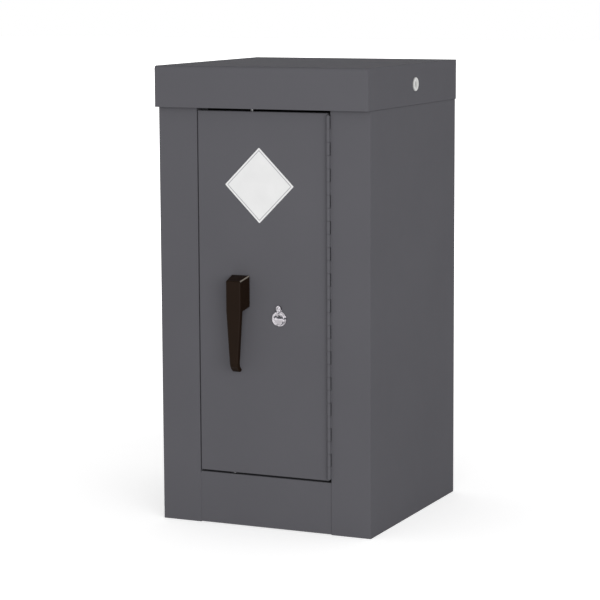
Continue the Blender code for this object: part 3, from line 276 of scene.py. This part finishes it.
def mix(tree, factor, first, second):
    """Mix two colours by a value or a number: each colour is a socket or a fixed one."""
    node = tree.nodes.new("ShaderNodeMix")
    node.data_type = "RGBA"
    if isinstance(factor, float):
        node.inputs[MIX_FACTOR].default_value = factor
    else:
        tree.links.new(factor, node.inputs[MIX_FACTOR])
    for place, color in ((MIX_FIRST, first), (MIX_SECOND, second)):
        if isinstance(color, tuple):
            node.inputs[place].default_value = (*color, 1.0)
        else:
            tree.links.new(color, node.inputs[place])
    return node.outputs[MIX_RESULT]


def roughen(tree, shader, value, middle, less, more):
    """Let the roughness wander about its middle with a noise value."""
    rough = remap(tree, value, NOISE_RANGE, (middle - less, middle + more))
    tree.links.new(rough, shader.inputs["Roughness"])


def bump(tree, shader, heights, edge=0.0):
    """Chain bumps onto the shader, over softened edges.

    heights are (value, strength, distance), and edge is how wide the edges look rounded.
    """
    normal = None
    if edge:
        soft = tree.nodes.new("ShaderNodeBevel")
        soft.samples = EDGE_SAMPLES
        soft.inputs["Radius"].default_value = edge
        normal = soft.outputs["Normal"]
    for value, strength, distance in heights:
        node = tree.nodes.new("ShaderNodeBump")
        node.inputs["Strength"].default_value = strength
        node.inputs["Distance"].default_value = distance
        tree.links.new(value, node.inputs["Height"])
        if normal is not None:
            tree.links.new(normal, node.inputs["Normal"])
        normal = node.outputs["Normal"]
    tree.links.new(normal, shader.inputs["Normal"])


# Finishes
def paint(name, color, gloss, edge=PAINT_EDGE):
    """Powder coat: an orange-peel skin, fine speckle and a slow drift of tone."""
    material, tree, shader, coords = new_material(name)
    shader.inputs["Specular IOR Level"].default_value = PAINT_SHINE
    slow = noise(tree, coords, scale=5.0, detail=3.0)
    fine = noise(tree, coords, scale=1400.0, detail=1.0)
    drift = shades(tree, slow, color, darkest=0.965, lightest=1.035)
    speck = shades(tree, fine, color, darkest=0.93, lightest=1.07)
    tree.links.new(mix(tree, SPECKLE_SHARE, drift, speck), shader.inputs["Base Color"])
    worn = noise(tree, coords, scale=34.0, detail=4.0, roughness=0.6)
    roughen(tree, shader, worn, gloss, less=0.04, more=0.05)
    peel = noise(tree, coords, scale=620.0, roughness=0.45)
    bump(tree, shader, [(peel, 0.22, 0.05 * MM), (fine, 0.10, 0.02 * MM)], edge)
    return material


def moulded(name, color, gloss, grain=900.0, depth=0.03 * MM, shine=0.5, edge=0.0, shift=0.07):
    """Moulded plastic or rubber with a fine spark-eroded grain."""
    material, tree, shader, coords = new_material(name)
    shader.inputs["Specular IOR Level"].default_value = shine
    slow = noise(tree, coords, scale=28.0, detail=3.0)
    fine = noise(tree, coords, scale=grain)
    drift = shades(tree, slow, color, darkest=1 - shift, lightest=1 + shift)
    tree.links.new(drift, shader.inputs["Base Color"])
    roughen(tree, shader, fine, gloss, less=0.05, more=0.06)
    bump(tree, shader, [(fine, 0.25, depth)], edge)
    return material


def metal(name, color, gloss, metallic, spangle=0.0):
    """Plated or plain metal with fine scratches, stains and, on zinc, a faint spangle."""
    material, tree, shader, coords = new_material(name)
    shader.inputs["Metallic"].default_value = metallic
    slow = noise(tree, coords, scale=60.0, detail=4.0, roughness=0.6)
    drift = shades(tree, slow, color, darkest=0.90, lightest=1.04)
    if spangle:
        cells = tree.nodes.new("ShaderNodeTexVoronoi")
        cells.inputs["Scale"].default_value = SPANGLE_SCALE
        tree.links.new(coords, cells.inputs["Vector"])
        shade = ramp(tree, cells.outputs["Color"],
                     [(0.0, tint(color, 0.86)), (1.0, tint(color, 1.08))])
        drift = mix(tree, spangle, drift, shade)
    tree.links.new(drift, shader.inputs["Base Color"])
    lines = noise(tree, coords, scale=420.0, detail=3.0, roughness=0.65)
    roughen(tree, shader, lines, gloss, less=0.03, more=0.06)
    bump(tree, shader, [(lines, 0.18, 0.015 * MM)])
    return material


def painted_reflection_plate(name, bright, dark, gloss):
    """Polished plate with a painted reflection: bright and dark bands, painted into its colour by
    the slope of its surface, stand in for the room around it.
    """
    material, tree, shader, coords = new_material(name)
    shader.inputs["Metallic"].default_value = 1.0
    facing = tree.nodes.new("ShaderNodeSeparateXYZ")
    tree.links.new(coordinates(tree, "Normal"), facing.inputs["Vector"])
    slope = remap(tree, facing.outputs["Z"], REFLECTION_BAND_SLOPES, clamp=False)
    wave = noise(tree, coords, scale=210.0, detail=1.0)
    place = calculate(tree, "MULTIPLY_ADD", wave, REFLECTION_BAND_WANDER, slope)
    # Painted reflection: bright and dark bands in the base colour, placed by the surface's slope
    bands = [(0.33, bright), (0.57, tint(bright, 0.80)), (0.66, tint(bright, 1.25)),
             (0.73, dark), (0.92, dark), (0.99, bright)]
    tree.links.new(ramp(tree, place, bands), shader.inputs["Base Color"])
    lines = noise(tree, coords, scale=420.0, detail=3.0, roughness=0.65, stretch=(1.0, 0.15, 1.0))
    roughen(tree, shader, lines, gloss, less=0.03, more=0.06)
    bump(tree, shader, [(lines, 0.18, 0.004 * MM)])
    return material


def distance_share(tree, coords, centre, stretch, fade):
    """A value from 0 to 1 as the distance from a centre goes through the fade's two radii."""
    offset = vector_math(tree, "SUBTRACT", coords, centre)
    across = vector_math(tree, "MULTIPLY", offset, stretch)
    return remap(tree, vector_math(tree, "LENGTH", across), fade)


def painted_shade_plug(name, rim, dish, gloss, centre):
    """Moulded plastic with shade painted in the middle of its dish and round its outer edge."""
    material = moulded(name, rim, gloss)
    tree = material.node_tree
    shader = tree.nodes["Principled BSDF"]
    plain = shader.inputs["Base Color"].links[0].from_socket
    coords = coordinates(tree, "Object")
    inner = distance_share(tree, coords, centre, DISH_STRETCH, DISH_FADE)
    outer = distance_share(tree, coords, centre, FLANGE_STRETCH, FLANGE_FADE)
    unshaded = calculate(tree, "MULTIPLY", inner, outer)
    # Painted shade: darker in the middle of the dish and round the flange's outer edge
    shade_mottle = noise(tree, coords, scale=300.0, detail=3.0)
    painted_shade = shades(tree, shade_mottle, dish, darkest=0.8, lightest=1.2)
    tree.links.new(mix(tree, unshaded, painted_shade, plain), shader.inputs["Base Color"])
    return material


def painted_edge_highlight(material, facing, fade, color):
    """Paint a highlight, as lighter colour, on the rounded edge that faces a way."""
    tree = material.node_tree
    shader = tree.nodes["Principled BSDF"]
    plain = shader.inputs["Base Color"].links[0].from_socket
    near = vector_math(tree, "DOT_PRODUCT", coordinates(tree, "Normal"),
                       Vector(facing).normalized())
    share = remap(tree, near, fade)
    tree.links.new(mix(tree, share, plain, color), shader.inputs["Base Color"])


def plug_finish():
    """The finish of both round plugs, whose painted shade is centred on them."""
    low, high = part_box("vent_plug_right")
    centre = (0.0, (low[1] + high[1]) / 2, (low[2] + high[2]) / 2)
    return painted_shade_plug("plug_plastic", PLUG_PALE, PLUG_PAINTED_SHADE, gloss=0.42, centre=centre)


finishes = {
    "grey_paint": paint("grey_powder_coat", GREY, gloss=0.60),
    "inner_paint": paint("grey_powder_coat_inside", GREY_INSIDE, gloss=0.62),
    "pale_plastic": moulded("pale_plastic", PALE, gloss=0.42),
    "zinc": metal("zinc_plate", ZINC, gloss=0.36, metallic=0.92, spangle=0.5),
    "rubber": moulded("black_rubber", RUBBER, gloss=0.78, grain=700.0, depth=0.06 * MM),
    "nylon": moulded("black_nylon", NYLON, gloss=0.52),
    "black_handle": moulded("handle_plastic", HANDLE_BROWN, gloss=0.38, grain=1100.0,
                            depth=0.02 * MM, shine=HANDLE_SHINE, edge=HANDLE_EDGE),
    # Chrome, with a reflection painted into its colour
    "chrome": painted_reflection_plate("chrome_plate", CHROME_PAINTED_BRIGHT, CHROME_PAINTED_DARK, gloss=0.09),
    "brass": metal("brass", BRASS, gloss=0.26, metallic=1.0),
}
# A painted highlight along the top right edge of the handle's head
painted_edge_highlight(finishes["black_handle"], HIGHLIGHT_FACING, HIGHLIGHT_FADE, HANDLE_HIGHLIGHT)

# Small fittings have no softened edges, which would darken them
thin_paint = paint("grey_powder_coat_on_fittings", GREY, gloss=0.60, edge=0.0)
plug_plastic = plug_finish()
rod_steel = metal("dull_rod_plate", ROD_GREY, gloss=0.48, metallic=0.9)
label_white = moulded("label_vinyl", LABEL_WHITE, gloss=0.40, grain=500.0, depth=0.01 * MM,
                      shift=0.02)
label_grey = moulded("label_edge_print", LABEL_GREY, gloss=0.36, grain=500.0, depth=0.01 * MM)
own_finishes = {"vent_plug_left": plug_plastic, "vent_plug_right": plug_plastic,
                "top_rod": rod_steel, "bottom_rod": rod_steel}


def dress_cad_nodes():
    """Give each CAD node its own finish, or the one of its material slot in the record."""
    for part in frame["record"]["subparts"]:
        node = frame["nodes"][part["node"]]
        finish = own_finishes.get(part["node"], finishes[part["material_slot"]])
        if not node.material_slots:
            node.data.materials.append(finish)
        for place in node.material_slots:
            place.link = "OBJECT"
            place.material = finish


# Shapes of the new pieces
def add_piece(name, mesh, finish, body):
    """Put a bmesh into the scene as a piece that rides on a CAD body."""
    data = bpy.data.meshes.new(name)
    mesh.to_mesh(data)
    mesh.free()
    piece = bpy.data.objects.new(name, data)
    bpy.context.scene.collection.objects.link(piece)
    data.materials.append(finish)
    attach(piece, body)


def diamond_outline(centre, reach, radius):
    """The points of an upright diamond with round corners, as (x, z)."""
    points = []
    tip = reach - radius * math.sqrt(2)
    for quarter in range(4):
        turn = quarter * math.pi / 2
        for step in range(CORNER_STEPS + 1):
            angle = turn - math.pi / 4 + math.pi / 2 * step / CORNER_STEPS
            points.append((centre[0] + tip * math.cos(turn) + radius * math.cos(angle),
                           centre[1] + tip * math.sin(turn) + radius * math.sin(angle)))
    return points


def diamond_sheet(half, hole, corner, thickness, lift):
    """A diamond of thin sheet lifted off the door's front, with an optional diamond hole."""
    y = DOOR_FRONT - lift
    mesh = bmesh.new()
    outer = [mesh.verts.new((x, y, z)) for x, z in diamond_outline(LABEL_CENTRE, half, corner)]
    if hole:
        outline = diamond_outline(LABEL_CENTRE, hole, corner * HOLE_CORNER_SHARE)
        inner = [mesh.verts.new((x, y, z)) for x, z in outline]
        for place in range(len(outer)):
            after = (place + 1) % len(outer)
            mesh.faces.new([outer[place], outer[after], inner[after], inner[place]])
    else:
        mesh.faces.new(outer)
    grown = bmesh.ops.extrude_face_region(mesh, geom=mesh.faces[:])
    moved = [part for part in grown["geom"] if isinstance(part, bmesh.types.BMVert)]
    bmesh.ops.translate(mesh, vec=(0, -thickness, 0), verts=moved)
    bmesh.ops.recalc_face_normals(mesh, faces=mesh.faces)
    return mesh


def add_turned(mesh, profile, place, axis, steps=TURNED_STEPS):
    """Add a turned form to a mesh: profile is (radius, height) in millimetres, middle to rim."""
    axis = Vector(axis)
    turn = Vector((0, 0, 1)).rotation_difference(axis).to_matrix()
    rings = []
    for radius, height in ((radius * MM, height * MM) for radius, height in profile):
        count = steps if radius else 1
        angles = [2 * math.pi * step / steps for step in range(count)]
        points = [Vector((radius * math.cos(a), radius * math.sin(a), height)) for a in angles]
        rings.append([mesh.verts.new(Vector(place) + turn @ point) for point in points])
    for inner, outer in zip(rings, rings[1:]):
        for step in range(steps):
            after = (step + 1) % steps
            corners = [outer[step % len(outer)], outer[after % len(outer)],
                       inner[after % len(inner)], inner[step % len(inner)]]
            face = mesh.faces.new(list(dict.fromkeys(corners)))
            face.smooth = True
            face.normal_update()
            if face.normal.dot(axis) < 0:
                face.normal_flip()


def add_bead(mesh, start, end, across, radius, pitch):
    """Add a rippled weld bead along a corner: across gives the two directions away from it."""
    start, end = Vector(start), Vector(end)
    length = (end - start).length
    count = max(BEAD_LEAST_ROWS, round(length / pitch * BEAD_ROWS_PER_RIPPLE))
    turns = [math.pi / 2 * step / BEAD_ARC_STEPS for step in range(BEAD_ARC_STEPS + 1)]
    u, v = (Vector(direction) for direction in across)
    rows = []
    for step in range(count + 1):
        share = step / count
        fade = min(1.0, BEAD_END_SHARE + min(share, 1 - share) * length / radius)
        wide = radius * fade * (1 + BEAD_RIPPLE * math.cos(2 * math.pi * share * length / pitch))
        middle = start + (end - start) * share
        arc = [middle + u * wide * math.cos(turn) + v * wide * math.sin(turn) for turn in turns]
        rows.append([mesh.verts.new(point) for point in [middle] + arc])
    for first, second in zip(rows, rows[1:]):
        for place in range(len(first)):
            after = (place + 1) % len(first)
            face = mesh.faces.new([first[place], second[place], second[after], first[after]])
            face.smooth = 0 < place < len(first) - 1
    mesh.faces.new(rows[0])
    mesh.faces.new(rows[-1][::-1])
    bmesh.ops.recalc_face_normals(mesh, faces=mesh.faces)


def add_fillet(mesh, corner, reach, seam, low, high, steps=FILLET_STEPS):
    """Add a hollow fillet of paint up a corner.

    corner is (x, y) where two faces meet, reach how far it runs along each of them, signed,
    and seam how wide the gap is that it fills beside the corner.
    """
    x, y = corner
    out_x, out_y = reach
    turns = [math.pi / 2 * step / steps for step in range(steps + 1)]
    curve = [(x + out_x * (1 - math.sin(turn)), y + out_y * (1 - math.cos(turn))) for turn in turns]
    side = x - math.copysign(seam, out_x)
    outline = curve + [(side, y + out_y), (side, y)]
    lower = [mesh.verts.new((a, b, low)) for a, b in outline]
    upper = [mesh.verts.new((a, b, high)) for a, b in outline]
    mesh.faces.new(lower)
    mesh.faces.new(upper[::-1])
    for place in range(len(outline)):
        after = (place + 1) % len(outline)
        mesh.faces.new([lower[place], lower[after], upper[after], upper[place]])


# New pieces
def add_label():
    """The blank vinyl label on the door, and the thin line printed near its edge."""
    sheet = diamond_sheet(LABEL_HALF, None, LABEL_CORNER, LABEL_SHEET, LABEL_LIFT)
    add_piece("blank_label", sheet, label_white, "door")
    line = diamond_sheet(LINE_HALF, LINE_HOLE, LINE_CORNER, LINE_SHEET, LINE_LIFT)
    add_piece("blank_label_edge", line, label_grey, "door")


def add_strip_rivets():
    """A pop rivet at each end of each shelf strip."""
    rivets = bmesh.new()
    for name in ("front_left", "front_right", "back_left", "back_right"):
        low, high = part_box("shelf_strip_" + name)
        side = 1 if low[0] > 0 else -1
        face = low[0] if side > 0 else high[0]
        for height in (low[2] + STRIP_RIVET_END, high[2] - STRIP_RIVET_END):
            add_turned(rivets, RIVET, (face, (low[1] + high[1]) / 2, height), (-side, 0, 0))
    add_piece("strip_rivets", rivets, finishes["zinc"], "cabinet")


def add_guide_rivets():
    """Two pop rivets on the foot of each rod guide."""
    rivets = bmesh.new()
    for name in ("rod_guide_top", "rod_guide_bottom"):
        low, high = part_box(name)
        middle = (low[0] + high[0]) / 2
        for x in (middle - GUIDE_RIVET_OUT, middle + GUIDE_RIVET_OUT):
            place = (x, low[1] + GUIDE_FOOT, low[2] + GUIDE_RIVET_UP)
            add_turned(rivets, RIVET, place, (0, 1, 0))
    add_piece("guide_rivets", rivets, finishes["zinc"], "door")


def add_stiffener_spot_welds():
    """Spot welds up both flanges of the door's stiffener."""
    welds = bmesh.new()
    low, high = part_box("door_stiffener")
    for x in (low[0] + STIFFENER_WELD_IN, high[0] - STIFFENER_WELD_IN):
        for step in range(STIFFENER_WELDS):
            height = low[2] + STIFFENER_WELD_START + step * STIFFENER_WELD_PITCH
            add_turned(welds, SPOT_WELD, (x, low[1] + STIFFENER_SHEET, height), (0, 1, 0))
    add_piece("stiffener_spot_welds", welds, thin_paint, "door")


def add_rear_flange_spot_welds():
    """Spot welds up the rear flange of each side panel."""
    welds = bmesh.new()
    for name, side in (("left_side_panel", -1), ("right_side_panel", 1)):
        low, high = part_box(name)
        wall = high[0] if side > 0 else low[0]
        for step in range(REAR_WELDS):
            height = REAR_WELD_START + step * REAR_WELD_PITCH
            add_turned(welds, SPOT_WELD, (wall - side * REAR_WELD_IN, high[1], height), (0, 1, 0))
    add_piece("rear_flange_spot_welds", welds, thin_paint, "cabinet")


def add_sump_weld_beads():
    """A weld bead up each corner of the sump tray, inside."""
    beads = bmesh.new()
    low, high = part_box("sump_tray")
    floor_top = low[2] + SUMP_SHEET
    for x, u in ((low[0] + SUMP_SHEET, 1), (high[0] - SUMP_SHEET, -1)):
        for y, v in ((low[1] + SUMP_SHEET, 1), (high[1] - SUMP_SHEET, -1)):
            add_bead(beads, (x, y, floor_top), (x, y, high[2] - BEAD_BELOW_RIM),
                     ((u, 0, 0), (0, v, 0)), BEAD_RADIUS, BEAD_PITCH)
    add_piece("sump_weld_beads", beads, thin_paint, "cabinet")


def add_hinge_paint_fillets():
    """Paint in the seam between the stile and each knuckle of the frame's leaf."""
    fillets = bmesh.new()
    low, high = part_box("hinge_frame_leaf")
    pitch = (high[2] - low[2]) / HINGE_KNUCKLES
    corner = (high[0] + HINGE_FILLET_OUT, DOOR_FRONT - FILLET_LIFT)
    for index in range(0, HINGE_KNUCKLES, 2):
        base = low[2] + index * pitch
        add_fillet(fillets, corner, HINGE_FILLET_REACH, HINGE_FILLET_SEAM,
                   base + HINGE_FILLET_END, base + pitch - HINGE_FILLET_END)
    bmesh.ops.recalc_face_normals(fillets, faces=fillets.faces)
    add_piece("hinge_paint_fillets", fillets, thin_paint, "cabinet")


def add_plinth_paint_fillets():
    """Paint in the seams between the plinth's ends and the stiles."""
    fillets = bmesh.new()
    low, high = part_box("plinth_panel")
    out, forward = PLINTH_FILLET_REACH
    for edge, side in ((low[0], -1), (high[0], 1)):
        add_fillet(fillets, (edge, low[1] - FILLET_LIFT), (-side * out, forward),
                   PLINTH_FILLET_SEAM, low[2], high[2] - PLINTH_FILLET_BELOW_TOP)
    bmesh.ops.recalc_face_normals(fillets, faces=fillets.faces)
    add_piece("plinth_paint_fillets", fillets, thin_paint, "cabinet")


# Stage, light and camera
def seen_directly(tree):
    """1 for what the camera sees, straight or through a reflection or glass, and 0 otherwise."""
    path = tree.nodes.new("ShaderNodeLightPath")
    total = path.outputs["Is Camera Ray"]
    for other in ("Is Glossy Ray", "Is Transmission Ray"):
        total = calculate(tree, "MAXIMUM", total, path.outputs[other])
    return total


def stage_material(name, color, lift):
    """A pale matt floor, lifted to white where it is seen, with the object's shadow kept."""
    material, tree, shader, coords = new_material(name)
    slow = noise(tree, coords, scale=0.7)
    tree.links.new(shades(tree, slow, color, darkest=0.995, lightest=1.0),
                   shader.inputs["Base Color"])
    shader.inputs["Roughness"].default_value = FLOOR_ROUGHNESS
    shader.inputs["Specular IOR Level"].default_value = FLOOR_SHINE
    shader.inputs["Emission Color"].default_value = WHITE
    away = vector_math(tree, "LENGTH", coords)
    fade = remap(tree, away, (SHADOW_REACH, WHITE_REACH), (lift, 1.0))
    strength = calculate(tree, "MULTIPLY", seen_directly(tree), fade)
    tree.links.new(strength, shader.inputs["Emission Strength"])
    return material


def add_floor():
    """The floor that the cupboard stands on."""
    mesh = bmesh.new()
    bmesh.ops.create_grid(mesh, x_segments=FLOOR_SQUARES, y_segments=FLOOR_SQUARES,
                          size=FLOOR_HALF)
    data = bpy.data.meshes.new("floor")
    mesh.to_mesh(data)
    mesh.free()
    floor = bpy.data.objects.new("floor", data)
    bpy.context.scene.collection.objects.link(floor)
    data.materials.append(stage_material("pale_floor", FLOOR_COLOR, FLOOR_LIFT))


def set_sky():
    """An even studio sky: plain white where it is seen, and dimmer as a light."""
    world = bpy.data.worlds.new("studio")
    bpy.context.scene.world = world
    world.use_nodes = True
    sky = world.node_tree
    background = sky.nodes["Background"]
    background.inputs["Color"].default_value = WHITE
    level = remap(sky, seen_directly(sky), (0.0, 1.0), (SKY_LEVEL, 1.0))
    sky.links.new(level, background.inputs["Strength"])


def add_key_light():
    """One large softbox, ahead and to the right, aimed at the cupboard."""
    lamp = bpy.data.lights.new("key_light", "AREA")
    lamp.shape = "RECTANGLE"
    lamp.size, lamp.size_y = KEY_SIZE
    lamp.energy = KEY_POWER
    item = bpy.data.objects.new("key_light", lamp)
    bpy.context.scene.collection.objects.link(item)
    item.location = KEY_PLACE
    item.rotation_mode = "QUATERNION"
    item.rotation_quaternion = (Vector(KEY_TARGET) - Vector(KEY_PLACE)).to_track_quat("-Z", "Y")


def add_camera():
    """The camera at the photograph's viewing angle."""
    data = bpy.data.cameras.new("camera")
    data.sensor_width = CAMERA_SENSOR
    data.lens = CAMERA_LENS
    camera = bpy.data.objects.new("camera", data)
    bpy.context.scene.collection.objects.link(camera)
    camera.matrix_world = (Matrix.Translation(CAMERA_PLACE)
                           @ Matrix.Rotation(CAMERA_HEADING, 4, "Z")
                           @ Matrix.Rotation(math.pi / 2 - CAMERA_DROP, 4, "X")
                           @ Matrix.Rotation(CAMERA_ROLL, 4, "Z"))
    bpy.context.scene.camera = camera


dress_cad_nodes()
add_label()
add_strip_rivets()
add_guide_rivets()
add_stiffener_spot_welds()
add_rear_flange_spot_welds()
add_sump_weld_beads()
add_hinge_paint_fillets()
add_plinth_paint_fillets()
add_floor()
set_sky()
add_key_light()
add_camera()
bpy.context.scene.view_settings.view_transform = "Standard"
